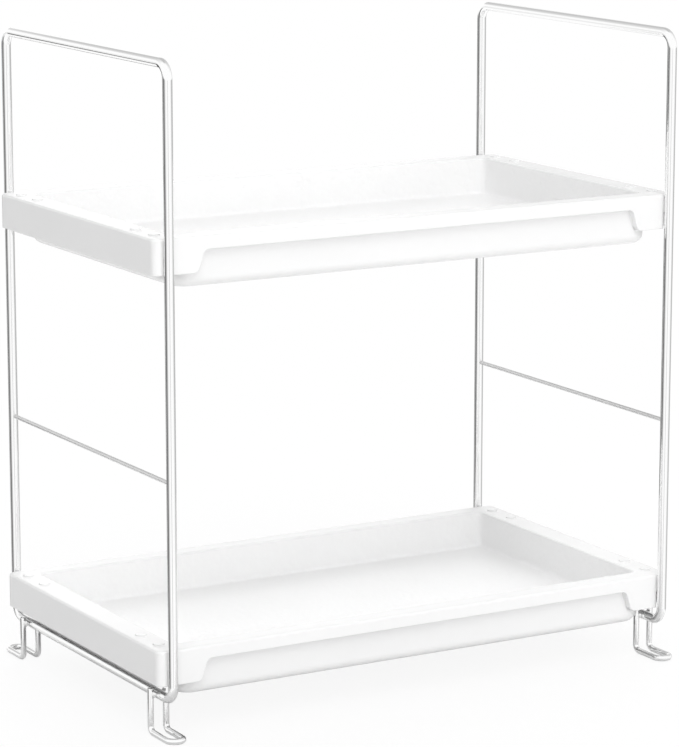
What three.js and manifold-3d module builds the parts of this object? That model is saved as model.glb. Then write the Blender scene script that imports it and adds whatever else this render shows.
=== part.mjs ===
// A two-tier countertop organizer: two white moulded trays carried by two end frames of bright wire.
// Millimetres, +Z up, front towards -Y. The origin is on the counter, under the middle of the rack.

import * as THREE from 'three';
import { mergeVertices } from 'three/addons/utils/BufferGeometryUtils.js';
import Module from 'manifold-3d';

const wasm = await Module();
wasm.setup();

// End frames: one closed loop of thick wire at each end
const frameWire = 5;
const frameDepth = 188.4; // between the centres of the front and rear uprights
const frameHeight = 322.3; // between the centres of the bottom and top bars
const frameBend = 8; // bend radius at the wire's centre

// Cross wires welded between the uprights
const crossWire = 2.2;
const midRailRise = 112.6; // mid rail above the bottom bar, centre to centre

// Feet: a U of thinner wire with its legs welded on both sides of the bottom bar
const footWire = 3.2;
const footHeight = 21.1; // bottom bar's centre above the counter
const footInset = 17.2; // legs behind the upright, centre to centre
const footReach = 17.8; // from the legs to the centre of the toe's turn
const footBend = 3.2;
const footWeld = 3.4; // cut ends of the legs above the bar's centre

// Trays: the same moulding twice
const trayLength = 314;
const trayCorner = 4.5;
const tierPitch = 210;
const frameInset = 7; // plane of an end frame behind the tray's end face
const skirtHeight = 18.5;
const skirtWall = 2.5;
const skirtLift = 4; // skirt's lower edge above the cut ends of the feet
const flangeThick = 2.5;
const rimRound = 2;

// Bowl of a tray
const sideRim = 11.9; // from the front face to the bowl's inside
const endWall = 2;
const floorDepth = 20.5;
const floorThick = 2.7;
const baseRing = 3.3; // height of the ring under the floor
const baseRingWidth = 8;
const baseRingCorner = 4;
const bowlRound = 5;
const bowlCorner = 11;
const bowlDraft = 0.9;
const cavityCorner = 4;
const cavityDraft = 0.8;
const floorFillet = 2;
const lipRound = 1.2; // where the rim turns down into the bowl

// Finger recesses in the front and rear aprons
const recessBand = 7; // solid band of the apron above the recess
const recessDepth = 4;
const recessEnd = 28.4; // tray's end face to the recess, at its upper edge
const recessSlant = 3.5; // how much further the recess reaches at the skirt's lower edge
const recessFillet = 2.4;

// Seats that straddle the cross wires, and the raised pads above them
const seatDepth = 9; // tray's top to the roof of the wire slot
const seatRib = 2.2;
const seatRibDepth = 14;
const seatInset = 13.4; // outer seat from the front or rear face
const seatPitch = 20;
const padRadius = 2.9;
const padRound = 0.5;
const padHeight = 0.8;

// Clearances
const gap = 0.3; // between pieces that touch or are welded
const bowlToFoot = 0.5;
const cutMargin = 1; // how far a cutter stands out of what it cuts
const leastStep = 0.01; // stations of a wire closer than this are one

// Facets
const frameSides = 12;
const crossSides = 12;
const footSides = 8;
const padSides = 12;
const bendSteps = 5;
const roundSteps = 4;
const cornerDivisions = 3;

// Places worked out from the sizes above
const frameX = trayLength / 2 - frameInset;
const uprightY = frameDepth / 2;
const crossLength = frameDepth - frameWire - 2 * gap;
const legOffset = frameWire / 2 + gap + footWire / 2;
const legY = uprightY - footInset;
const trayHalfX = trayLength / 2;
const trayHalfY = uprightY - frameWire / 2 - gap;
const lowerTrayTop = footHeight + footWeld + skirtLift + skirtHeight;
const upperTrayTop = lowerTrayTop + tierPitch;
const slotRadius = crossWire / 2 + gap;
const supportDrop = seatDepth + slotRadius; // support wire's centre below the tray's top
const bowlDepth = floorDepth + floorThick + baseRing;
const bowlHalfX = frameX - legOffset - footWire / 2 - bowlToFoot;
const bowlHalfY = trayHalfY - recessDepth - bowlDraft;
const cavityHalfX = bowlHalfX + bowlDraft - endWall;
const cavityHalfY = trayHalfY - sideRim;
const recessHalf = trayHalfX - recessEnd;
const hollowInnerX = recessHalf + recessSlant + recessFillet + skirtWall;
const hollowOuterX = trayHalfX - skirtWall;

const chrome = { color: 0xd4d8dc, metalness: 1, roughness: 0.12 };
const whitePlastic = { color: 0xf4f4f2, metalness: 0, roughness: 0.45 };

// Bent wire: straight runs joined by arcs, with stations only where the wire starts, ends or bends
class BentWire extends THREE.Curve {
  constructor(corners, closed) {
    super();
    this.stations = [];
    const count = corners.length;
    corners.forEach(({ point, bend }, i) => {
      const before = corners[(i + count - 1) % count].point;
      const after = corners[(i + 1) % count].point;
      const arrive = point.clone().sub(before).normalize();
      const leave = after.clone().sub(point).normalize();
      if (!closed && i === 0) {
        this.addStation(point, leave);
      } else if (!closed && i === count - 1) {
        this.addStation(point, arrive);
      } else {
        this.addBend(point, arrive, leave, bend);
      }
    });
    this.segments = closed ? this.stations.length : this.stations.length - 1;
  }

  addStation(point, tangent) {
    const last = this.stations.at(-1);
    const repeated = last && last.point.distanceTo(point) < leastStep;
    if (!repeated) {
      this.stations.push({ point, tangent });
    }
  }

  addBend(corner, arrive, leave, radius) {
    const turn = arrive.angleTo(leave);
    const start = corner.clone().addScaledVector(arrive, -radius * Math.tan(turn / 2));
    const inward = leave.clone().addScaledVector(arrive, -leave.dot(arrive)).normalize();
    const centre = start.clone().addScaledVector(inward, radius);
    for (let step = 0; step <= bendSteps; step += 1) {
      const angle = (turn * step) / bendSteps;
      const point = centre.clone();
      point.addScaledVector(inward, -radius * Math.cos(angle));
      point.addScaledVector(arrive, radius * Math.sin(angle));
      const tangent = arrive.clone().multiplyScalar(Math.cos(angle));
      tangent.addScaledVector(inward, Math.sin(angle));
      this.addStation(point, tangent);
    }
  }

  station(u) {
    return this.stations[Math.round(u * this.segments) % this.stations.length];
  }

  getPointAt(u, target = new THREE.Vector3()) {
    return target.copy(this.station(u).point);
  }

  getTangentAt(u, target = new THREE.Vector3()) {
    return target.copy(this.station(u).tangent);
  }
}

// Round section with its true diameter across flats that face the axes
function wireSection(diameter, sides) {
  const radius = diameter / 2 / Math.cos(Math.PI / sides);
  const points = [];
  for (let i = 0; i < sides; i += 1) {
    const angle = ((i + 0.5) * 2 * Math.PI) / sides;
    points.push(new THREE.Vector2(radius * Math.cos(angle), radius * Math.sin(angle)));
  }
  return new THREE.Shape(points);
}

// Keeps only the positions, with shared corners merged, so that the surface is closed
function welded(geometry) {
  geometry.deleteAttribute('normal');
  geometry.deleteAttribute('uv');
  return mergeVertices(geometry);
}

function toSolid(geometry) {
  const closed = welded(geometry);
  const vertProperties = new Float32Array(closed.attributes.position.array);
  const triVerts = new Uint32Array(closed.index.array);
  return new wasm.Manifold(new wasm.Mesh({ numProp: 3, vertProperties, triVerts }));
}

function toGeometry(solid) {
  const { vertProperties, triVerts } = solid.getMesh();
  const geometry = new THREE.BufferGeometry();
  geometry.setAttribute('position', new THREE.BufferAttribute(new Float32Array(vertProperties), 3));
  geometry.setIndex(new THREE.BufferAttribute(new Uint32Array(triVerts), 1));
  geometry.computeVertexNormals();
  return geometry;
}

// Closed loop of wire in the plane of an end frame
function frameLoop() {
  const low = footHeight;
  const high = footHeight + frameHeight;
  const corners = [
    { point: new THREE.Vector3(0, -uprightY, low), bend: frameBend },
    { point: new THREE.Vector3(0, uprightY, low), bend: frameBend },
    { point: new THREE.Vector3(0, uprightY, high), bend: frameBend },
    { point: new THREE.Vector3(0, -uprightY, high), bend: frameBend },
  ];
  const path = new BentWire(corners, true);
  return new THREE.TubeGeometry(path, path.segments, frameWire / 2, frameSides, true);
}

// Straight wire from upright to upright
function crossRail() {
  return new THREE.CylinderGeometry(crossWire / 2, crossWire / 2, crossLength, crossSides);
}

// Front foot: down one leg, out along the counter, round the toe and up the other leg
function footLoop() {
  const top = footHeight + footWeld;
  const sole = footWire / 2;
  const toe = -footReach - legOffset;
  const corners = [
    { point: new THREE.Vector3(-legOffset, 0, top) },
    { point: new THREE.Vector3(-legOffset, 0, sole), bend: footBend },
    { point: new THREE.Vector3(-legOffset, toe, sole), bend: legOffset },
    { point: new THREE.Vector3(legOffset, toe, sole), bend: legOffset },
    { point: new THREE.Vector3(legOffset, 0, sole), bend: footBend },
    { point: new THREE.Vector3(legOffset, 0, top) },
  ];
  const path = new BentWire(corners, false);
  const section = wireSection(footWire, footSides);
  return new THREE.ExtrudeGeometry(section, { steps: path.segments, extrudePath: path });
}

// Rectangle with round corners, anticlockwise
function roundedOutline(halfX, halfY, corner) {
  const x = halfX - corner;
  const y = halfY - corner;
  const outline = new THREE.Shape();
  outline.absarc(x, y, corner, 0, 0.5 * Math.PI);
  outline.absarc(-x, y, corner, 0.5 * Math.PI, Math.PI);
  outline.absarc(-x, -y, corner, Math.PI, 1.5 * Math.PI);
  outline.absarc(x, -y, corner, 1.5 * Math.PI, 2 * Math.PI);
  return outline;
}

// Body lofted through rounded rectangles, lowest first, each drawn in by its inset
function loftedBody(halfX, halfY, corner, profile) {
  const rings = profile.map(({ z, inset }) => {
    const outline = roundedOutline(halfX - inset, halfY - inset, corner - inset);
    return outline.getPoints(cornerDivisions).map((point) => new THREE.Vector3(point.x, point.y, z));
  });
  const count = rings[0].length;
  const top = (rings.length - 1) * count;
  const index = [];
  for (let ring = 0; ring < top; ring += count) {
    for (let i = 0; i < count; i += 1) {
      const here = ring + i;
      const next = ring + ((i + 1) % count);
      index.push(here, next, next + count);
      index.push(here, next + count, here + count);
    }
  }
  for (let i = 1; i < count - 1; i += 1) {
    index.push(0, i + 1, i);
    index.push(top, top + i, top + i + 1);
  }
  const geometry = new THREE.BufferGeometry().setFromPoints(rings.flat());
  geometry.setIndex(index);
  return geometry;
}

// Stations of a quarter round: height and reach at each step from 0 to 90 degrees
function quarterRound(radius, station) {
  const stations = [];
  for (let step = 0; step <= roundSteps; step += 1) {
    const angle = (0.5 * Math.PI * step) / roundSteps;
    stations.push(station(radius * Math.sin(angle), radius * Math.cos(angle)));
  }
  return stations;
}

// Rim, aprons and skirt before they are hollowed out
function rimSlab() {
  const edge = quarterRound(rimRound, (rise, out) => ({ z: rise - rimRound, inset: rimRound - out }));
  return loftedBody(trayHalfX, trayHalfY, trayCorner, [{ z: -skirtHeight, inset: 0 }, ...edge]);
}

function bowlOutside() {
  const base = bowlRound - bowlDepth;
  const edge = quarterRound(bowlRound, (drop, out) => ({ z: base - drop, inset: bowlRound - out }));
  const mouth = { z: -flangeThick / 2, inset: -bowlDraft };
  return loftedBody(bowlHalfX, bowlHalfY, bowlCorner, [...edge.reverse(), mouth]);
}

function bowlInside() {
  const low = floorFillet - floorDepth;
  const toe = cavityDraft + floorFillet;
  const fillet = quarterRound(floorFillet, (drop, out) => ({ z: low - drop, inset: toe - out }));
  const lip = quarterRound(lipRound, (rise, out) => ({ z: rise - lipRound, inset: out - lipRound }));
  const above = { z: cutMargin, inset: -lipRound };
  return loftedBody(cavityHalfX, cavityHalfY, cavityCorner, [...fillet.reverse(), ...lip, above]);
}

// Shallow space inside the ring that the bowl stands on
function baseHollow() {
  const profile = [
    { z: -bowlDepth - cutMargin, inset: 0 },
    { z: baseRing - bowlDepth, inset: 0 },
  ];
  return loftedBody(bowlHalfX - baseRingWidth, bowlHalfY - baseRingWidth, baseRingCorner, profile);
}

// Space under the flange at the right end, open below, where the support wire runs
function flangeHollow() {
  const profile = [
    { z: -skirtHeight - cutMargin, inset: 0 },
    { z: -flangeThick, inset: 0 },
  ];
  const halfX = (hollowOuterX - hollowInnerX) / 2;
  const halfY = trayHalfY - skirtWall;
  const body = loftedBody(halfX, halfY, trayCorner - skirtWall, profile);
  return body.translate(hollowInnerX + halfX, 0, 0);
}

// Finger recess in the front apron: slanted ends, rounded above and flared out below
function fingerRecess() {
  const low = -skirtHeight;
  const high = -recessBand;
  const wide = recessHalf + recessSlant;
  const slope = new THREE.Vector2(-recessSlant, high - low).setLength(recessFillet);
  const outline = new THREE.Shape();
  outline.moveTo(-wide - recessFillet, low - cutMargin);
  outline.lineTo(wide + recessFillet, low - cutMargin);
  outline.lineTo(wide + recessFillet, low);
  outline.quadraticCurveTo(wide, low, wide + slope.x, low + slope.y);
  outline.lineTo(recessHalf - slope.x, high - slope.y);
  outline.quadraticCurveTo(recessHalf, high, recessHalf - recessFillet, high);
  outline.lineTo(recessFillet - recessHalf, high);
  outline.quadraticCurveTo(-recessHalf, high, slope.x - recessHalf, high - slope.y);
  outline.lineTo(-wide - slope.x, low + slope.y);
  outline.quadraticCurveTo(-wide, low, -wide - recessFillet, low);
  const options = { depth: recessDepth + cutMargin, bevelEnabled: false, curveSegments: roundSteps };
  const body = new THREE.ExtrudeGeometry(outline, options).rotateX(0.5 * Math.PI);
  return body.translate(0, recessDepth - trayHalfY, 0);
}

// Wire slot at the right end, open below and round above, through both aprons and every seat
function wireSlot() {
  const low = -skirtHeight - cutMargin;
  const length = 2 * (trayHalfY + cutMargin);
  const outline = new THREE.Shape();
  outline.moveTo(-slotRadius, low);
  outline.lineTo(slotRadius, low);
  outline.absarc(0, -supportDrop, slotRadius, 0, Math.PI);
  const options = { depth: length, bevelEnabled: false, curveSegments: roundSteps };
  const body = new THREE.ExtrudeGeometry(outline, options).rotateX(0.5 * Math.PI);
  return body.translate(frameX, length / 2, 0);
}

// Rib under the right flange that sits on the support wire
function seatRibAt(y) {
  const inner = bowlHalfX - bowlCorner;
  const outer = trayHalfX - skirtWall / 2;
  const top = -flangeThick / 2;
  const rib = new THREE.BoxGeometry(outer - inner, seatRib, seatRibDepth + top);
  return rib.translate((outer + inner) / 2, y, (top - seatRibDepth) / 2);
}

// Raised round pad on the right flange
function flangePadAt(y) {
  const sunk = flangeThick / 2;
  const pad = new THREE.CylinderGeometry(padRadius - padRound, padRadius, padHeight + sunk, padSides);
  return pad.rotateX(0.5 * Math.PI).translate(frameX, y, (padHeight - sunk) / 2);
}

// Whole tray, with its top at height 0
function trayMoulding() {
  const halfTurn = Math.PI;
  const bothEnds = (make) => [toSolid(make()), toSolid(make().rotateZ(halfTurn))];
  const outerSeat = trayHalfY - seatInset;
  const seats = [outerSeat, outerSeat - seatPitch, seatPitch - outerSeat, -outerSeat];
  let tray = toSolid(rimSlab());
  for (const cutter of [...bothEnds(fingerRecess), ...bothEnds(flangeHollow)]) {
    tray = tray.subtract(cutter);
  }
  tray = tray.add(toSolid(bowlOutside()));
  for (const rib of seats.flatMap((y) => bothEnds(() => seatRibAt(y)))) {
    tray = tray.add(rib);
  }
  for (const cutter of [toSolid(bowlInside()), toSolid(baseHollow()), ...bothEnds(wireSlot)]) {
    tray = tray.subtract(cutter);
  }
  for (const pad of seats.flatMap((y) => bothEnds(() => flangePadAt(y)))) {
    tray = tray.add(pad);
  }
  return toGeometry(tray);
}

const rack = new THREE.Group();

function place(name, geometry, finish, x, y, z) {
  const mesh = new THREE.Mesh(geometry, new THREE.MeshStandardMaterial(finish));
  mesh.name = name;
  mesh.position.set(x, y, z);
  rack.add(mesh);
  return mesh;
}

for (const [side, x] of [['left', -frameX], ['right', frameX]]) {
  place(`${side}_end_frame`, frameLoop(), chrome, x, 0, 0);
  place(`${side}_mid_rail`, crossRail(), chrome, x, 0, footHeight + midRailRise);
  place(`${side}_upper_support`, crossRail(), chrome, x, 0, upperTrayTop - supportDrop);
  place(`${side}_lower_support`, crossRail(), chrome, x, 0, lowerTrayTop - supportDrop);
  place(`front_${side}_foot`, footLoop(), chrome, x, -legY, 0);
  place(`rear_${side}_foot`, footLoop(), chrome, x, legY, 0).rotation.z = Math.PI;
}
place('lower_tray', trayMoulding(), whitePlastic, 0, 0, lowerTrayTop);
place('upper_tray', trayMoulding(), whitePlastic, 0, 0, upperTrayTop);

export default rack;
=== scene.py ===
# %% [markdown]
# # A two-tier countertop organizer
# Two shallow white trays hang between two end frames of bright wire, one tray above the other. The
# measured model of every piece is already there, in metres, and this lesson dresses it: each piece is
# modelled again with smooth rounds where the measured one has facets, and gets its finish. The first step
# loads that model, and each piece is later sized from the box of its measured part.

# %% Load the measured model
import math

import bpy
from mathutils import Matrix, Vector


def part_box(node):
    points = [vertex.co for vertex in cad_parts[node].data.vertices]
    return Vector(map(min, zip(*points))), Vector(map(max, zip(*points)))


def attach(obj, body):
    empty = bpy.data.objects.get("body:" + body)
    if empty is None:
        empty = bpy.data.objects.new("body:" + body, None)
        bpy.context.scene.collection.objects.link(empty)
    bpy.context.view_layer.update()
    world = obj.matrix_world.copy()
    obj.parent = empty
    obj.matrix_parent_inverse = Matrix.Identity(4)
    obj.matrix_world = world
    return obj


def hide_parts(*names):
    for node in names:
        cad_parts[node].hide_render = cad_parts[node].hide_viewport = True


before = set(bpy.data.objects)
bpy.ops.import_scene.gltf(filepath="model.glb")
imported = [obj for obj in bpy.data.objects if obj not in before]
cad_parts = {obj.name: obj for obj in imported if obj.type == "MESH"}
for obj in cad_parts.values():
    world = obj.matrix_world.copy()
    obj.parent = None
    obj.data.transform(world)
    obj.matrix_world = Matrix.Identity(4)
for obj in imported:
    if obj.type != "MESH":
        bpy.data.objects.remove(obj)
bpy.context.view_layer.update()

MM = 0.001
print("pieces:", sorted(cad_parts))

# %% [markdown]
# ## The camera
# The rack is seen from the left of its front, a little above the upper tray, through a long lens, so the
# uprights hardly converge. The place and the angles were solved from the uprights, bars and tray edges in
# the picture. The focal length is written in pixels of the picture, which is 679 by 747, and Blender's
# sensor belongs to the longer side.

# %% Camera
PICTURE_HEIGHT = 747
FOCAL_PIXELS = 3366.1
CAMERA_PLACE = Vector((-892.4, -1548.8, 520.4)) * MM
CAMERA_YAW = math.radians(-29.975)
CAMERA_PITCH = math.radians(11.449)

bpy.ops.object.camera_add(
    location=CAMERA_PLACE,
    rotation=(math.pi / 2 - CAMERA_PITCH, 0, CAMERA_YAW),
)
camera = bpy.context.object
camera.data.lens = FOCAL_PIXELS / PICTURE_HEIGHT * camera.data.sensor_width
bpy.context.scene.camera = camera
print("lens:", round(camera.data.lens, 1), "mm")

# %% [markdown]
# ## White moulded plastic
# The trays are one white plastic with two skins, as the mould leaves them: a satin gloss on the outside, and
# a grained inside, which hides the scratches of bottles and jars. A perfectly even white looks like paper,
# so a slow drift in tint and roughness makes wide faces catch the light a little unevenly. The grain is bump
# only, because it is a fraction of a millimetre deep and never changes an outline.

# %% White plastic
PLASTIC_IOR = 1.49
TINT_LOW, TINT_HIGH = 0.90, 0.92
DRIFT_SCALE = 18
NOISE_LOW, NOISE_HIGH = 0.3, 0.7


def grey(level):
    return (level, level, level, 1)


def link(tree, source, socket, target, entry):
    tree.links.new(source.outputs[socket], target.inputs[entry])


def noise_node(tree, scale, detail):
    coordinates = tree.nodes.new("ShaderNodeTexCoord")
    noise = tree.nodes.new("ShaderNodeTexNoise")
    noise.inputs["Scale"].default_value = scale
    noise.inputs["Detail"].default_value = detail
    link(tree, coordinates, "Object", noise, "Vector")
    return noise


def new_material(name):
    material = bpy.data.materials.new(name)
    material.use_nodes = True
    return material, material.node_tree, material.node_tree.nodes["Principled BSDF"]


def range_node(tree, low, high, first, last):
    """Spreads a value that runs from low to high over first to last."""
    node = tree.nodes.new("ShaderNodeMapRange")
    for entry, value in (("From Min", low), ("From Max", high), ("To Min", first), ("To Max", last)):
        node.inputs[entry].default_value = value
    return node


def roughness_from(tree, noise, shader, smooth, rough):
    spread = range_node(tree, NOISE_LOW, NOISE_HIGH, smooth, rough)
    link(tree, noise, "Fac", spread, "Value")
    link(tree, spread, "Result", shader, "Roughness")


def bump_from(tree, noise, shader, height):
    bump = tree.nodes.new("ShaderNodeBump")
    bump.inputs["Strength"].default_value = 1.0
    bump.inputs["Distance"].default_value = height
    link(tree, noise, "Fac", bump, "Height")
    link(tree, bump, "Normal", shader, "Normal")


def white_plastic(name, smooth, rough, grain_scale, grain_height):
    material, tree, shader = new_material(name)
    shader.inputs["IOR"].default_value = PLASTIC_IOR
    tint = tree.nodes.new("ShaderNodeMix")
    tint.data_type = "RGBA"
    tint.inputs["A"].default_value = grey(TINT_LOW)
    tint.inputs["B"].default_value = grey(TINT_HIGH)
    drift = noise_node(tree, DRIFT_SCALE, detail=2)
    link(tree, drift, "Fac", tint, "Factor")
    link(tree, tint, "Result", shader, "Base Color")
    roughness_from(tree, drift, shader, smooth, rough)
    bump_from(tree, noise_node(tree, grain_scale, detail=2), shader, grain_height)
    return material


satin_plastic = white_plastic("satin_white_plastic", 0.18, 0.26, grain_scale=1400, grain_height=0.004 * MM)
grained_plastic = white_plastic("grained_white_plastic", 0.36, 0.46, grain_scale=300, grain_height=0.5 * MM)
print("finishes:", satin_plastic.name, grained_plastic.name)

# %% [markdown]
# ## Chromed wire
# Frames and feet are steel wire with a bright chrome plate. Chrome has almost no colour of its own: what the
# eye reads is the room in it. The plate follows the drawn wire beneath, so a very slight waviness bends the
# reflections, and faint wiping marks vary the gloss. The thin cross wires between the uprights get a
# rougher,
# darker copy of the chrome: the roughness gives an even grey with no clear reflections, and the darker base
# colour is painted shade for the grey these wires show between the trays.

# %% Bright chrome and dull, shaded chrome
HAZE_SCALE = 260
WAVE_SCALE = 70
WAVE_HEIGHT = 0.01 * MM


def chromed_steel(name, level, smooth, rough):
    material, tree, shader = new_material(name)
    shader.inputs["Base Color"].default_value = grey(level)
    shader.inputs["Metallic"].default_value = 1.0
    roughness_from(tree, noise_node(tree, HAZE_SCALE, detail=3), shader, smooth, rough)
    bump_from(tree, noise_node(tree, WAVE_SCALE, detail=1), shader, WAVE_HEIGHT)
    return material


bright_chrome = chromed_steel("bright_chrome", level=0.90, smooth=0.05, rough=0.12)
# The darker base colour of this copy is painted shade; only its higher roughness is a real finish.
dull_shaded_chrome = chromed_steel("dull_shaded_chrome", level=0.72, smooth=0.36, rough=0.46)
print("finishes:", bright_chrome.name, dull_shaded_chrome.name)

# %% [markdown]
# ## Bending wire
# A wire former feeds wire straight and wraps it round a pin at each bend. The same two moves make the mesh:
# a ring of points is extruded along each straight run, and spun about the pin's centre at each corner. A
# curve with a bevel would do too, but here every bend has its own radius and the rings sit only where the
# wire bends.

# %% Wire by extrude and spin
WIRE_SIDES = 32
BEND_STEPS = 14
EDGE_STEPS = 3
MERGE = 1e-6
SHARP = math.radians(40)


def settle():
    """Writes the place, turn and scale of the selected piece into its mesh."""
    bpy.ops.object.transform_apply(location=True, rotation=True, scale=True)


def finish_wire(wire, plate):
    bpy.ops.mesh.select_all(action="SELECT")
    bpy.ops.mesh.remove_doubles(threshold=MERGE)
    bpy.ops.mesh.normals_make_consistent(inside=False)
    bpy.ops.object.mode_set(mode="OBJECT")
    bpy.ops.object.shade_smooth_by_angle(angle=SHARP)
    wire.data.materials.append(plate)
    return wire


def extrude_by(step):
    if step.length > MERGE:
        bpy.ops.mesh.extrude_region_move(TRANSFORM_OT_translate={"value": step})


def bent_wire(name, diameter, start, corners, end):
    """Feeds wire from start to end; corners are pairs of a corner point and its bend radius."""
    heading = corners[0][0] - start if corners else end - start
    bpy.ops.object.select_all(action="DESELECT")
    bpy.ops.mesh.primitive_circle_add(
        vertices=WIRE_SIDES,
        radius=diameter / 2,
        location=start,
        rotation=heading.to_track_quat("Z", "Y").to_euler(),
    )
    wire = bpy.context.object
    wire.name = name
    settle()
    bpy.ops.object.mode_set(mode="EDIT")
    bpy.ops.mesh.select_all(action="SELECT")
    here = start
    for i, (corner, radius) in enumerate(corners):
        beyond = corners[i + 1][0] if i + 1 < len(corners) else end
        arrive = (corner - here).normalized()
        leave = (beyond - corner).normalized()
        turn = arrive.angle(leave)
        reach = radius * math.tan(turn / 2)
        bend_start = corner - arrive * reach
        inward = (leave - arrive * leave.dot(arrive)).normalized()
        extrude_by(bend_start - here)
        bpy.ops.mesh.spin(
            steps=BEND_STEPS,
            angle=turn,
            center=bend_start + inward * radius,
            axis=leave.cross(arrive),
        )
        here = corner + leave * reach
    extrude_by(end - here)
    return wire


def cut_ends(chamfer):
    """Closes both ends of an open wire, with the edge that a wire cutter leaves."""
    bpy.ops.mesh.select_all(action="SELECT")
    bpy.ops.mesh.fill_holes(sides=0)
    bpy.ops.mesh.select_mode(type="FACE")
    bpy.ops.mesh.select_face_by_sides(number=WIRE_SIDES, type="EQUAL", extend=False)
    bpy.ops.mesh.bevel(offset=chamfer, segments=EDGE_STEPS, affect="EDGES")
    bpy.ops.mesh.select_mode(type="VERT")


def dress(piece, node, body):
    """Hangs a finished piece on the empty of its body, hides the measured node it replaces, and prints its
    size.
    """
    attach(piece, body)
    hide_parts(node)
    size = Vector(piece.dimensions) / MM
    print(piece.name, [round(side, 1) for side in size], "mm,", len(piece.data.polygons), "faces")


print("wires:", WIRE_SIDES, "sides and", BEND_STEPS, "steps in a bend")

# %% [markdown]
# ## End frames
# Each end frame is one closed loop in a plane across the rack. Feeding starts in the middle of the bottom
# bar, so the seam where the two ends meet lies on a straight run, where it can be merged without a trace.

# %% End frames
FRAME_BEND = 8 * MM

for side in ("left", "right"):
    node = f"{side}_end_frame"
    low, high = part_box(node)
    frame_wire = high.x - low.x
    middle = (low.x + high.x) / 2
    front, rear = low.y + frame_wire / 2, high.y - frame_wire / 2
    bottom, top = low.z + frame_wire / 2, high.z - frame_wire / 2
    seam = Vector((middle, 0, bottom))
    loop = [
        (Vector((middle, rear, bottom)), FRAME_BEND),
        (Vector((middle, rear, top)), FRAME_BEND),
        (Vector((middle, front, top)), FRAME_BEND),
        (Vector((middle, front, bottom)), FRAME_BEND),
    ]
    piece = finish_wire(bent_wire(f"{side}_loop", frame_wire, seam, loop, seam), bright_chrome)
    dress(piece, node, "rack")

# %% [markdown]
# ## Cross wires
# A thin mid rail steadies each loop, and two more cross wires, hidden inside the ends of the trays, carry
# them. They are butt-welded to the uprights: the ends run a little way into the thick wire, as the upset
# metal of a spot weld does. The same wire tool makes them, without a bend, and the edges of their cut ends
# are chamfered.

# %% Cross wires
WELD_SINK = 0.8 * MM
CUT_CHAMFER = 0.25 * MM

for side in ("left", "right"):
    for part in ("mid_rail", "upper_support", "lower_support"):
        node = f"{side}_{part}"
        low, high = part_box(node)
        centre = (low + high) / 2
        reach = Vector((0, (high.y - low.y) / 2 + WELD_SINK, 0))
        piece = bent_wire(f"{side}_{part}_wire", high.z - low.z, centre - reach, [], centre + reach)
        cut_ends(CUT_CHAMFER)
        dress(finish_wire(piece, dull_shaded_chrome), node, "rack")

# %% [markdown]
# ## Feet
# Each foot is one thinner wire: down one leg, flat along the counter, round the toe, back and up the other
# leg. The legs stand on both sides of the bottom bar, with a small weld bead between each leg and the bar.
# A bead is a sphere squashed to the drop of metal that fills the corner, joined to the wire it belongs to.

# %% Feet
FOOT_BEND = 3.2 * MM
WELD_GAP = 0.3 * MM
BEAD_SIZE = Vector((0.9, 1.5, 2.1)) * MM
BEAD_SEGMENTS, BEAD_RINGS = 24, 16


def weld_bead(wire, place):
    bpy.ops.object.mode_set(mode="OBJECT")
    bpy.ops.mesh.primitive_uv_sphere_add(
        segments=BEAD_SEGMENTS, ring_count=BEAD_RINGS, radius=1, location=place
    )
    bpy.context.object.scale = BEAD_SIZE
    settle()
    wire.select_set(True)
    bpy.context.view_layer.objects.active = wire
    bpy.ops.object.join()
    bpy.ops.object.mode_set(mode="EDIT")


for end, outward in (("front", -1), ("rear", 1)):
    for side in ("left", "right"):
        node = f"{end}_{side}_foot"
        low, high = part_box(node)
        bar_low, bar_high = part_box(f"{side}_end_frame")
        bar_wire = bar_high.x - bar_low.x
        foot_wire = (high.x - low.x - bar_wire - 2 * WELD_GAP) / 2
        middle = (low.x + high.x) / 2
        spread = (high.x - low.x - foot_wire) / 2
        left_leg, right_leg = middle - spread, middle + spread
        leg = (high.y if outward < 0 else low.y) + outward * foot_wire / 2
        toe = (low.y if outward < 0 else high.y) - outward * foot_wire / 2
        sole = low.z + foot_wire / 2
        corners = [
            (Vector((left_leg, leg, sole)), FOOT_BEND),
            (Vector((left_leg, toe, sole)), spread),
            (Vector((right_leg, toe, sole)), spread),
            (Vector((right_leg, leg, sole)), FOOT_BEND),
        ]
        start, finish = Vector((left_leg, leg, high.z)), Vector((right_leg, leg, high.z))
        piece = bent_wire(f"{end}_{side}_toe_wire", foot_wire, start, corners, finish)
        cut_ends(CUT_CHAMFER)
        touch = (bar_wire + WELD_GAP) / 2
        for beside in (middle - touch, middle + touch):
            weld_bead(piece, Vector((beside, leg, bar_low.z + bar_wire / 2)))
        dress(finish_wire(piece, bright_chrome), node, "rack")

# %% [markdown]
# ## The tray's moulding
# Both trays come out of the same mould, so the tray is modelled once, with its top at height 0. It starts
# as flat plates with round corners. A plate is drawn up or down in rings, each ring a little further in,
# which gives the rounded rim, the bowl and the lip as clean bands of faces. The solids are then joined and
# cut, as the mould's cavity and cores do it.

# %% Plates and rings
CORNER_STEPS = 16
ROUND_STEPS = 8
UP, DOWN = 1, -1


def rounded_plate(name, half_x, half_y, corner, height, facing):
    bpy.ops.object.select_all(action="DESELECT")
    bpy.ops.mesh.primitive_plane_add(size=2, location=(0, 0, height))
    plate = bpy.context.object
    plate.name = name
    plate.scale = (half_x, half_y, 1)
    settle()
    bpy.ops.object.mode_set(mode="EDIT")
    bpy.ops.mesh.select_all(action="SELECT")
    bpy.ops.mesh.bevel(offset=corner, segments=CORNER_STEPS, affect="VERTICES")
    bpy.ops.mesh.select_all(action="SELECT")
    if facing == DOWN:
        bpy.ops.mesh.flip_normals()
    return plate


def draw_straight(depth, facing):
    extrude_by(Vector((0, 0, facing * depth)))


def draw_in(inset, depth):
    bpy.ops.mesh.inset(thickness=inset, depth=depth)


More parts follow.
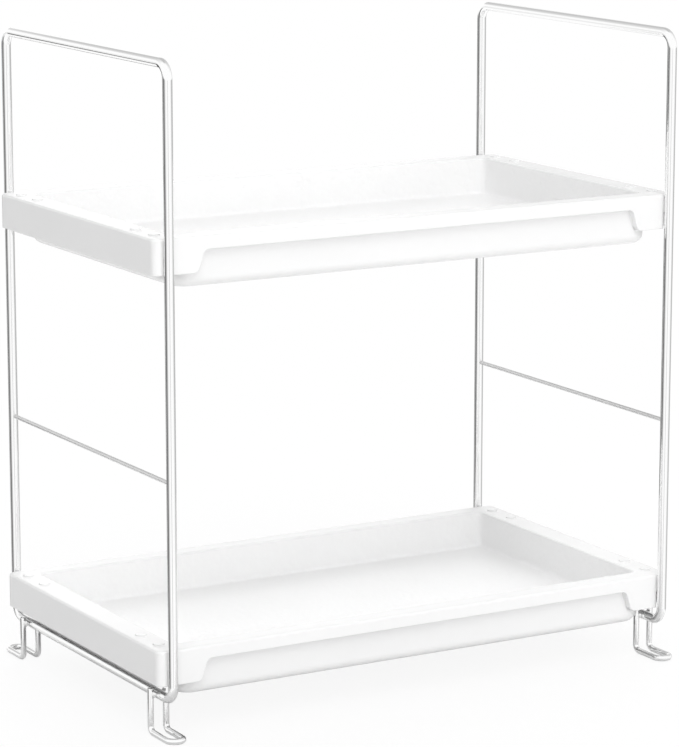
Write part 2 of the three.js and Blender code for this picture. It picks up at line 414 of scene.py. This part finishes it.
def draw_round(radius, starts_flat):
    """A quarter round in small steps; it starts along the face, or else along the wall before it."""
    last_in, last_deep = 0.0, 0.0
    for step in range(1, ROUND_STEPS + 1):
        angle = math.pi / 2 * step / ROUND_STEPS
        now_in, now_deep = radius * (1 - math.cos(angle)), radius * math.sin(angle)
        if starts_flat:
            now_in, now_deep = radius * math.sin(angle), radius * (1 - math.cos(angle))
        draw_in(now_in - last_in, now_deep - last_deep)
        last_in, last_deep = now_in, now_deep


def close_solid(solid):
    bpy.ops.mesh.select_all(action="SELECT")
    bpy.ops.mesh.normals_make_consistent(inside=False)
    bpy.ops.object.mode_set(mode="OBJECT")
    return solid


def add_modifier(piece, kind):
    bpy.context.view_layer.objects.active = piece
    bpy.ops.object.modifier_add(type=kind)
    return piece.modifiers[-1]


def combine(body, tool, operation):
    cut = add_modifier(body, "BOOLEAN")
    cut.operation = operation
    cut.solver = "EXACT"
    cut.object = tool
    bpy.ops.object.modifier_apply(modifier=cut.name)
    bpy.data.objects.remove(tool)


def mirror(piece, across_x, across_y):
    copy = add_modifier(piece, "MIRROR")
    copy.use_axis = (across_x, across_y, False)
    copy.use_mirror_merge = False
    bpy.ops.object.modifier_apply(modifier=copy.name)
    bpy.ops.object.mode_set(mode="EDIT")
    return close_solid(piece)


print("rings:", CORNER_STEPS, "steps in a corner and", ROUND_STEPS, "in a round")

# %% [markdown]
# ### Rim and skirt
# The rim is a slab with a soft upper edge, as deep as the skirt that hangs from it all round. The plate is
# drawn straight up from the skirt's lower edge, and the last stretch turns in by a quarter circle, ring by
# ring, which leaves even bands of faces where a bevel might pinch at the round corners.

# %% Rim slab
tray_low, tray_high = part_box("upper_tray")
PAD_HEIGHT = 0.8 * MM
tray_top = tray_high.z - PAD_HEIGHT
half_x, half_y = tray_high.x, tray_high.y
BOWL_DEPTH = tray_top - tray_low.z
TRAY_CORNER = 4.5 * MM
SKIRT_HEIGHT = 18.5 * MM
RIM_ROUND = 1.4 * MM

tray = rounded_plate("tray", half_x, half_y, TRAY_CORNER, -SKIRT_HEIGHT, UP)
draw_straight(SKIRT_HEIGHT - RIM_ROUND, UP)
draw_round(RIM_ROUND, starts_flat=False)
close_solid(tray)
print("slab:", [round(side / MM, 1) for side in tray.dimensions])

# %% [markdown]
# ### Finger recesses
# The front and rear aprons are cut away below the band, where fingers reach under it to lift the tray. The
# cutter is a box: its lower points are scaled apart, which slants the ends, and its two upper edges are
# bevelled, which rounds the corners. A mirrored copy cuts the rear. The corners where the cut leaves the
# skirt's lower edge belong to the tray, so they are bevelled there afterwards.

# %% Finger recesses
RECESS_BAND = 7 * MM
RECESS_END = 28.4 * MM
RECESS_SLANT = 3.5 * MM
RECESS_ROUND = 2.4 * MM
RECESS_DEPTH = 5.5 * MM
SPARE = 1 * MM
NEAR = 0.1 * MM


def block(centre, half):
    """A box about its centre, from half its size along each axis."""
    bpy.ops.object.select_all(action="DESELECT")
    bpy.ops.mesh.primitive_cube_add(size=2, location=centre)
    piece = bpy.context.object
    piece.scale = half
    settle()
    return piece


def select_points(piece, test):
    """Selects, in edit mode, the points of a piece that pass a test on their place."""
    bpy.ops.object.mode_set(mode="OBJECT")
    for group in (piece.data.polygons, piece.data.edges, piece.data.vertices):
        group.foreach_set("select", [False] * len(group))
    for point in piece.data.vertices:
        point.select = bool(test(point.co))
    bpy.ops.object.mode_set(mode="EDIT")


def select_edges(piece, test):
    """Selects, in edit mode, the edges of a piece whose two ends pass a test on their places."""
    points = piece.data.vertices
    bpy.ops.object.mode_set(mode="OBJECT")
    for group in (piece.data.polygons, piece.data.vertices):
        group.foreach_set("select", [False] * len(group))
    for edge in piece.data.edges:
        first, second = (points[i].co for i in edge.vertices)
        edge.select = bool(test(first, second))
    bpy.ops.object.mode_set(mode="EDIT")
    bpy.ops.mesh.select_mode(type="EDGE")


recess_half = half_x - RECESS_END
recess_height = SKIRT_HEIGHT - RECESS_BAND
slope = RECESS_SLANT / recess_height
cut_half = (recess_height + SPARE) / 2
recess = block((0, -half_y, -RECESS_BAND - cut_half), (recess_half, RECESS_DEPTH, cut_half))
bpy.ops.object.mode_set(mode="EDIT")
select_points(recess, lambda place: place.z < -SKIRT_HEIGHT)
wide = (recess_half + slope * (recess_height + SPARE)) / recess_half
bpy.ops.transform.resize(value=(wide, 1, 1), center_override=(0, 0, 0))
select_edges(recess, lambda a, b: min(a.z, b.z) > -SKIRT_HEIGHT and abs(a.y - b.y) > RECESS_DEPTH)
bpy.ops.mesh.bevel(offset=RECESS_ROUND, segments=ROUND_STEPS, affect="EDGES")
close_solid(recess)
combine(tray, mirror(recess, False, True), "DIFFERENCE")

skirt_level = -SKIRT_HEIGHT + MERGE
recess_foot = recess_half + slope * recess_height
bpy.context.view_layer.objects.active = tray
bpy.ops.object.mode_set(mode="EDIT")
select_edges(
    tray,
    lambda a, b: max(a.z, b.z) < skirt_level
    and abs(a.x - b.x) < MERGE
    and abs(abs(a.x) - recess_foot) < NEAR,
)
bpy.ops.mesh.bevel(offset=RECESS_ROUND, segments=ROUND_STEPS, affect="EDGES")
close_solid(tray)
print("recess from", round(-recess_half / MM, 1), "to", round(recess_half / MM, 1), "mm")

# %% [markdown]
# ### Hollow ends
# The ends of the tray are hollow below, so that the skirt hides the cross wire that carries the tray. Thin
# walls drawn one by one would leave seams, so the hollow is made as the mould makes it: a plate is drawn up
# as a solid core, moved to one end, mirrored to the other and cut away. What stays is flange and skirt.

# %% Hollow ends
FLANGE_THICK = 2.5 * MM
SKIRT_WALL = 2.5 * MM

hollow_inner = recess_foot + RECESS_ROUND + SKIRT_WALL
hollow_outer = half_x - SKIRT_WALL
hollow_half = (hollow_outer - hollow_inner) / 2
hollow = rounded_plate(
    "hollow", hollow_half, half_y - SKIRT_WALL, TRAY_CORNER - SKIRT_WALL, -SKIRT_HEIGHT - SPARE, UP
)
draw_straight(SKIRT_HEIGHT + SPARE - FLANGE_THICK, UP)
close_solid(hollow)
hollow.location.x = hollow_inner + hollow_half
settle()
combine(tray, mirror(hollow, True, False), "DIFFERENCE")
print("hollow ends from", round(hollow_inner / MM, 1), "to", round(hollow_outer / MM, 1), "mm")

# %% [markdown]
# ### The bowl
# The bowl hangs below the rim. Its outside tapers a little, so that it leaves the mould, and turns under in
# a wide round: the plate is drawn straight down with a slight inset, then in by a quarter circle. A first
# step of a hundredth of a millimetre leaves the plate behind, as the top of a closed solid.

# %% Bowl
BOWL_HALF_X = 143.5 * MM
BOWL_DRAFT = 0.9 * MM
RECESS_WALL = 4 * MM
BOWL_CORNER = 11 * MM
BOWL_ROUND = 5 * MM
FIRST_RING = 10 * MERGE
bowl_half_y = half_y - RECESS_WALL - BOWL_DRAFT

bowl = rounded_plate(
    "bowl",
    BOWL_HALF_X + BOWL_DRAFT,
    bowl_half_y + BOWL_DRAFT,
    BOWL_CORNER + BOWL_DRAFT,
    -FLANGE_THICK / 2,
    DOWN,
)
draw_straight(FIRST_RING, DOWN)
draw_in(BOWL_DRAFT, BOWL_DEPTH - BOWL_ROUND - FLANGE_THICK / 2)
draw_round(BOWL_ROUND, starts_flat=False)
combine(tray, close_solid(bowl), "UNION")
print("bowl hangs", round(BOWL_DEPTH / MM, 1), "mm deep")

# %% [markdown]
# ### Seat ribs
# Under each end of the flange four thin ribs stand across the hollow. They carry the tray on the cross
# wire and stiffen the skirt. One box, mirrored to the four quarters of the tray, makes four of them.

# %% Seat ribs
SEAT_RIB = 2.2 * MM
SEAT_RIB_DEPTH = 14 * MM
SEAT_INSET = 13.4 * MM
SEAT_PITCH = 20 * MM

outer_seat = half_y - SEAT_INSET
rib_inner = BOWL_HALF_X - BOWL_CORNER
rib_outer = half_x - SKIRT_WALL / 2
rib_top = -FLANGE_THICK / 2
for place in (outer_seat, outer_seat - SEAT_PITCH):
    rib = block(
        ((rib_inner + rib_outer) / 2, place, (rib_top - SEAT_RIB_DEPTH) / 2),
        ((rib_outer - rib_inner) / 2, SEAT_RIB / 2, (SEAT_RIB_DEPTH + rib_top) / 2),
    )
    combine(tray, mirror(rib, True, True), "UNION")
    print("ribs at", round(place / MM, 1), "mm from the middle")

# %% [markdown]
# ### Inside of the bowl
# The core of the mould makes the inside: a tight round where the rim turns down, nearly upright walls and a
# small fillet round the flat floor. It is drawn as a solid from the top down and then cut out of the tray,
# so wall and floor come out at their real thickness. Its round starts a hair above the rim's top, because a
# ring of points that lies in the very plane it cuts leaves slivers, which a later bevel turns into a ridge.

# %% Inside of the bowl
SIDE_RIM = 11.9 * MM
END_WALL = 2 * MM
FLOOR_DEPTH = 20.5 * MM
CAVITY_CORNER = 4 * MM
CAVITY_DRAFT = 0.8 * MM
FLOOR_FILLET = 2 * MM
LIP_ROUND = 1.2 * MM
LIP_RISE = 0.03 * MM

inside_x = BOWL_HALF_X + BOWL_DRAFT - END_WALL
inside_y = half_y - SIDE_RIM
inside = rounded_plate(
    "inside", inside_x + LIP_ROUND, inside_y + LIP_ROUND, CAVITY_CORNER + LIP_ROUND, SPARE, DOWN
)
draw_straight(SPARE - LIP_RISE, DOWN)
draw_round(LIP_ROUND, starts_flat=True)
draw_in(CAVITY_DRAFT, FLOOR_DEPTH + LIP_RISE - LIP_ROUND - FLOOR_FILLET)
draw_round(FLOOR_FILLET, starts_flat=False)
combine(tray, close_solid(inside), "DIFFERENCE")
print("inside:", [round(2 * side / MM, 1) for side in (inside_x, inside_y)], "mm")

# %% [markdown]
# ### Underside
# A flat floor rocks on anything that lies under it, so such bowls stand on a ring. The space inside the
# ring is a shallow plate cut out from below, and the floor keeps its thickness above it.

# %% Underside
BASE_RING = 3.3 * MM
BASE_RING_WIDTH = 8 * MM
BASE_RING_CORNER = 4 * MM

base = rounded_plate(
    "base",
    BOWL_HALF_X - BASE_RING_WIDTH,
    bowl_half_y - BASE_RING_WIDTH,
    BASE_RING_CORNER,
    -BOWL_DEPTH - SPARE,
    UP,
)
draw_straight(SPARE + BASE_RING, UP)
combine(tray, close_solid(base), "DIFFERENCE")
print("ring under the floor:", round(BASE_RING / MM, 1), "mm high")

# %% [markdown]
# ### Wire slots
# The tray drops onto the cross wires from above. A slot runs through both aprons and every rib: round
# above, where it sits on the wire, and open below. A cylinder makes the round roof, and its lower half is
# moved straight down to make the slot's parallel sides.

# %% Wire slots
SEAT_DEPTH = 9 * MM
SLOT_GAP = 0.3 * MM
support_low, support_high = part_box("right_upper_support")
support_x = (support_low.x + support_high.x) / 2
slot_radius = (support_high.z - support_low.z) / 2 + SLOT_GAP
slot_centre = -SEAT_DEPTH - slot_radius

bpy.ops.object.select_all(action="DESELECT")
bpy.ops.mesh.primitive_cylinder_add(
    vertices=WIRE_SIDES,
    radius=slot_radius,
    depth=2 * (half_y + SPARE),
    location=(support_x, 0, slot_centre),
    rotation=(math.pi / 2, 0, 0),
)
slot = bpy.context.object
settle()
bpy.ops.object.mode_set(mode="EDIT")
select_points(slot, lambda place: place.z < slot_centre - MERGE)
bpy.ops.transform.translate(value=(0, 0, -SKIRT_HEIGHT - slot_centre))
close_solid(slot)
combine(tray, mirror(slot, True, False), "DIFFERENCE")
print("slots:", round(2 * slot_radius / MM, 1), "mm wide")

# %% [markdown]
# ### Flange pads
# Above each rib a low round pad stands on the flange, in pairs near the four corners. Each is a short
# cylinder with its upper edge bevelled, sunk into the flange so that the two become one solid.

# %% Flange pads
PAD_RADIUS = 2.9 * MM
PAD_ROUND = 0.5 * MM
PAD_SIDES = 48
PAD_STEPS = 4

for place in (outer_seat, outer_seat - SEAT_PITCH):
    bpy.ops.object.select_all(action="DESELECT")
    bpy.ops.mesh.primitive_cylinder_add(
        vertices=PAD_SIDES,
        radius=PAD_RADIUS,
        depth=PAD_HEIGHT + FLANGE_THICK / 2,
        location=(support_x, place, (PAD_HEIGHT - FLANGE_THICK / 2) / 2),
    )
    pad = bpy.context.object
    settle()
    bpy.ops.object.mode_set(mode="EDIT")
    select_edges(pad, lambda a, b: min(a.z, b.z) > 0)
    bpy.ops.mesh.bevel(offset=PAD_ROUND, segments=PAD_STEPS, affect="EDGES")
    close_solid(pad)
    combine(tray, mirror(pad, True, True), "UNION")
print("pads:", round(2 * PAD_RADIUS / MM, 1), "mm across,", round(PAD_HEIGHT / MM, 1), "mm high")

# %% [markdown]
# ### Broken edges
# No moulding has razor edges. A bevel by angle breaks only the edges that the cuts left sharp, and weighted
# normals keep the wide flat faces flat right up to them.

# %% Break the edges
EDGE_BREAK = 0.5 * MM


def pick(piece):
    bpy.ops.object.select_all(action="DESELECT")
    piece.select_set(True)
    bpy.context.view_layer.objects.active = piece


pick(tray)
edge_break = add_modifier(tray, "BEVEL")
edge_break.width = EDGE_BREAK
edge_break.segments = EDGE_STEPS
edge_break.limit_method = "ANGLE"
edge_break.angle_limit = SHARP
edge_break.use_clamp_overlap = False
bpy.ops.object.modifier_apply(modifier=edge_break.name)
bpy.ops.object.shade_smooth_by_angle(angle=SHARP)
even_normals = add_modifier(tray, "WEIGHTED_NORMAL")
even_normals.keep_sharp = True
bpy.ops.object.modifier_apply(modifier=even_normals.name)
print("faces after the bevel:", len(tray.data.polygons))

# %% [markdown]
# ### Two skins
# The satin skin covers the whole tray first. The grained one then goes on the faces that the core made,
# which are found by their place: between the four inside walls, from below the round of the rim down to the
# floor.

# %% Two skins
tray.data.materials.append(satin_plastic)
tray.data.materials.append(grained_plastic)
bpy.ops.object.mode_set(mode="EDIT")
bpy.ops.mesh.select_mode(type="FACE")
bpy.ops.mesh.select_all(action="DESELECT")
bpy.ops.object.mode_set(mode="OBJECT")
for face in tray.data.polygons:
    x, y, z = face.center
    between_walls = abs(x) < inside_x + MERGE and abs(y) < inside_y + MERGE
    face.select = between_walls and -FLOOR_DEPTH - MERGE < z < -LIP_ROUND
bpy.ops.object.mode_set(mode="EDIT")
tray.active_material_index = 1
bpy.ops.object.material_slot_assign()
bpy.ops.object.mode_set(mode="OBJECT")
print("grained faces:", sum(face.material_index for face in tray.data.polygons))

# %% [markdown]
# ### Both trays
# The two trays are copies of the one moulding, each with its own mesh, moved to the height that the
# measured tray has. The copy at height 0 is then taken away.

# %% Both trays
for name in ("lower_tray", "upper_tray"):
    pick(tray)
    bpy.ops.object.duplicate(linked=False)
    piece = bpy.context.object
    piece.name = f"{name}_moulding"
    piece.location.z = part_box(name)[1].z - PAD_HEIGHT
    settle()
    dress(piece, name, name)
bpy.data.objects.remove(tray)

# %% [markdown]
# ## Floor
# The rack stands on a plain white floor that runs out of the picture. A cut-out picture has hardly any
# shadow, so what the camera sees of the floor is part lit plaster, which keeps the soft shadow under the
# trays, and part even white, which keeps that shadow faint.

# %% Floor
FLOOR_SIZE = 8
FLOOR_ROUGHNESS = 0.9

bpy.ops.object.select_all(action="DESELECT")
bpy.ops.mesh.primitive_plane_add(size=FLOOR_SIZE, location=(0, 0, 0))
floor = bpy.context.object
floor.name = "floor"
floor_material, floor_tree, floor_shader = new_material("white_floor")
floor_shader.inputs["Roughness"].default_value = FLOOR_ROUGHNESS
floor_shader.inputs["Specular IOR Level"].default_value = 0.0
floor.data.materials.append(floor_material)
print("floor:", FLOOR_SIZE, "m square")

# %% [markdown]
# ### The floor's white
# The even white is a light of strength 1, which a camera ray sees in place of most of the plaster, and of
# all of it further out. It lights nothing, because every other ray still meets the plaster.

# %% White for the camera
FLOOR_WHITE = 0.9
FLOOR_SEEN, FLOOR_BOUNCE = 0.95, 0.8
FADE_FROM, FADE_TO = 0.25, 0.7


def math_node(tree, operation, *terms):
    """Each term is a number, or a node with the name of its output."""
    node = tree.nodes.new("ShaderNodeMath")
    node.operation = operation
    for entry, term in enumerate(terms):
        if isinstance(term, tuple):
            link(tree, *term, node, entry)
        else:
            node.inputs[entry].default_value = term
    return node


def mix_shaders(tree, factor, first, second):
    """Each of the three is a node with the name of its output."""
    mix = tree.nodes.new("ShaderNodeMixShader")
    for entry, source in enumerate((factor, first, second)):
        link(tree, *source, mix, entry)
    return mix


even_white = floor_tree.nodes.new("ShaderNodeEmission")
even_white.inputs["Color"].default_value = grey(1)
even_white.inputs["Strength"].default_value = 1.0
floor_paths = floor_tree.nodes.new("ShaderNodeLightPath")
seen_ray = (floor_paths, "Is Camera Ray")
shade = math_node(floor_tree, "MULTIPLY_ADD", seen_ray, FLOOR_SEEN - FLOOR_BOUNCE, FLOOR_BOUNCE)
link(floor_tree, shade, "Value", floor_shader, "Base Color")
away = floor_tree.nodes.new("ShaderNodeVectorMath")
away.operation = "LENGTH"
link(floor_tree, floor_tree.nodes.new("ShaderNodeTexCoord"), "Object", away, 0)
fade = range_node(floor_tree, FADE_FROM, FADE_TO, FLOOR_WHITE, 1)
fade.interpolation_type = "SMOOTHSTEP"
link(floor_tree, away, "Value", fade, "Value")
share = math_node(floor_tree, "MULTIPLY", seen_ray, (fade, "Result"))
floor_mix = mix_shaders(floor_tree, (share, "Value"), (floor_shader, "BSDF"), (even_white, "Emission"))
print("white for the camera from", FADE_TO, "m outwards")

# %% [markdown]
# ### What the chrome sees of the floor
# Feet and bars close to the floor mirror it, which gives them a grey lower edge. Further out a mirrored ray
# passes through the floor, so that the uprights show the studio right down to their feet. From below the
# floor is clear too, and the underside of the rack can be looked at.

# %% Floor in reflections
MIRRORED_FROM, MIRRORED_TO = 0.19, 0.24

beyond = range_node(floor_tree, MIRRORED_FROM, MIRRORED_TO, 0, 1)
link(floor_tree, away, "Value", beyond, "Value")
passing = math_node(floor_tree, "MULTIPLY", (floor_paths, "Is Glossy Ray"), (beyond, "Result"))
below = floor_tree.nodes.new("ShaderNodeNewGeometry")
clear = math_node(floor_tree, "MAXIMUM", (passing, "Value"), (below, "Backfacing"))
nothing = floor_tree.nodes.new("ShaderNodeBsdfTransparent")
floor_sides = mix_shaders(floor_tree, (clear, "Value"), (floor_mix, "Shader"), (nothing, "BSDF"))
link(floor_tree, floor_sides, "Shader", floor_tree.nodes["Material Output"], "Surface")
print("mirrored up to", MIRRORED_TO, "m from the middle")

# %% [markdown]
# ## Studio
# Chrome needs something to mirror, so mirrored rays see a white studio with flags in it. An upright mirrors
# a whole turn of the room, squeezed into its width: a dark flag low behind on the left draws its dark left
# edge, a grey one on the right the grey right edge, and a white slit keeps the flag off the bars' sides. A
# grey card behind on the right gives the trays' flanges a sheen, and the ceiling behind is grey, which
# shades the upper sides of the bars. Each is a list of bearings in degrees with their greys, and a list of
# heights, from -1 straight down to 1 straight up, with how far it covers the room there.

# %% Greys round the rack
FLAGS = (
    (-180, 0.04),
    (-129, 0.04),
    (-127, 0.85),
    (-112.5, 0.85),
    (-110.5, 0.04),
    (-98, 0.06),
    (-68, 0.36),
    (-40, 0.96),
    (-1, 1.0),
    (2, 0.55),
    (9, 0.55),
    (12, 1.0),
    (70, 1.0),
    (105, 0.48),
    (180, 0.55),
)
CARD = ((-180, 1.0), (125, 1.0), (145, 0.6), (177, 0.6), (180, 1.0))
CEILING = ((-180, 0.52), (-150, 0.58), (-120, 0.78), (-90, 1.0), (90, 1.0), (150, 0.6), (180, 0.52))
FLAG_HEIGHTS = ((-1, 0.0), (-0.38, 0.0), (-0.33, 1.0), (-0.07, 1.0), (-0.02, 0.0), (1, 0.0))
CARD_HEIGHTS = ((-1, 0.0), (-0.04, 0.0), (0.0, 1.0), (0.24, 1.0), (0.30, 0.0), (1, 0.0))
CEILING_HEIGHTS = ((-1, 0.0), (0.28, 0.0), (0.42, 1.0), (1, 1.0))

print("studio: flags, card and ceiling in", len(FLAGS) + len(CARD) + len(CEILING), "greys")

# %% [markdown]
# ### Rings of greys
# Each ring is a colour ramp over the mirrored ray's bearing, counted from the direction of the camera, and a
# second ramp over the ray's height says where the ring covers the one below it.

# %% Studio in reflections
TOWARDS_CAMERA = CAMERA_YAW - math.pi / 2


def grey_ramp(tree, source, span, stops):
    """Greys along a value that runs over plus and minus its span."""
    even = math_node(tree, "MULTIPLY_ADD", source, 0.5 / span, 0.5)
    node = tree.nodes.new("ShaderNodeValToRGB")
    elements = node.color_ramp.elements
    for i, (value, level) in enumerate(stops):
        place = 0.5 + 0.5 * value / stops[-1][0]
        if 0 < i < len(stops) - 1:
            element = elements.new(place)
        else:
            element = elements[0 if i == 0 else -1]
        element.color = grey(level)
    link(tree, even, "Value", node, "Fac")
    return node


def ring(tree, below, greys, heights):
    """Lays one ring of greys over another, within its heights."""
    mix = tree.nodes.new("ShaderNodeMixRGB")
    mix.inputs[1].default_value = grey(1)
    link(tree, grey_ramp(tree, (parts, "Z"), 1, heights), "Color", mix, 0)
    if below:
        link(tree, below, "Color", mix, 1)
    link(tree, grey_ramp(tree, (bearing, "Value"), math.pi, greys), "Color", mix, 2)
    return mix


world = bpy.data.worlds.new("studio")
bpy.context.scene.world = world
world.use_nodes = True
room = world.node_tree
direction = room.nodes.new("ShaderNodeTexCoord")
turn = room.nodes.new("ShaderNodeVectorRotate")
turn.rotation_type = "Z_AXIS"
turn.inputs["Angle"].default_value = -TOWARDS_CAMERA
link(room, direction, "Generated", turn, "Vector")
parts = room.nodes.new("ShaderNodeSeparateXYZ")
link(room, turn, "Vector", parts, "Vector")
bearing = math_node(room, "ARCTAN2", (parts, "Y"), (parts, "X"))
mirrored = None
for greys, heights in ((FLAGS, FLAG_HEIGHTS), (CARD, CARD_HEIGHTS), (CEILING, CEILING_HEIGHTS)):
    mirrored = ring(room, mirrored, greys, heights)
print("mirrored studio:", len(room.nodes), "nodes")

# %% [markdown]
# ### The room
# The pieces themselves are lit by an even white room, which fills every shadow. The camera sees plain white
# behind the floor's edge, and only mirrored rays meet the flags.

# %% Room
ROOM_LIGHT = 0.54
SEEN_LIGHT = 1.0
MIRRORED_LIGHT = 1.1


def background(tree, strength):
    node = tree.nodes.new("ShaderNodeBackground")
    node.inputs["Color"].default_value = grey(1)
    node.inputs["Strength"].default_value = strength
    return node


ambient = background(room, ROOM_LIGHT)
white = background(room, SEEN_LIGHT)
studio = background(room, MIRRORED_LIGHT)
link(room, mirrored, "Color", studio, "Color")
paths = room.nodes.new("ShaderNodeLightPath")
mirror_rays = math_node(room, "MAXIMUM", (paths, "Is Glossy Ray"), (paths, "Is Transmission Ray"))
seen = mix_shaders(room, (paths, "Is Camera Ray"), (ambient, "Background"), (white, "Background"))
final = mix_shaders(room, (mirror_rays, "Value"), (seen, "Shader"), (studio, "Background"))
link(room, final, "Shader", room.nodes["World Output"], "Surface")
print("room light:", ROOM_LIGHT, "and in mirrors", MIRRORED_LIGHT)

# %% [markdown]
# ## Lamps
# Four broad lamps shape the trays. A low one in front lights the bands and the back walls, a high one at the
# front left the tops, and two at the rear right reach the floors of both trays and leave the left ends in
# shade. They are wide, so that shadows stay soft, and mirrored rays don't see them, because the flags
# already draw the reflections. The Standard view shows each colour about as it was written.

# %% Lamps
LAMP_SIZE = 3.2
LAMPS = (
    ("front_lamp", (0, -4.7, 1.0), 60),
    ("high_lamp", (-1.3, -2.8, 3.8), 87),
    ("rear_lamp", (2.9, 3.5, 1.8), 112),
    ("top_lamp", (1.8, 2.5, 3.8), 38),
)
AIM = Vector((0, 0, 0.15))

for name, place, power in LAMPS:
    bpy.ops.object.light_add(type="AREA", location=place)
    lamp = bpy.context.object
    lamp.name = name
    lamp.data.size = LAMP_SIZE
    lamp.data.energy = power
    lamp.rotation_euler = (AIM - lamp.location).to_track_quat("-Z", "Y").to_euler()
    lamp.visible_glossy = False
    print(name, power, "W")

bpy.context.scene.view_settings.view_transform = "Standard"
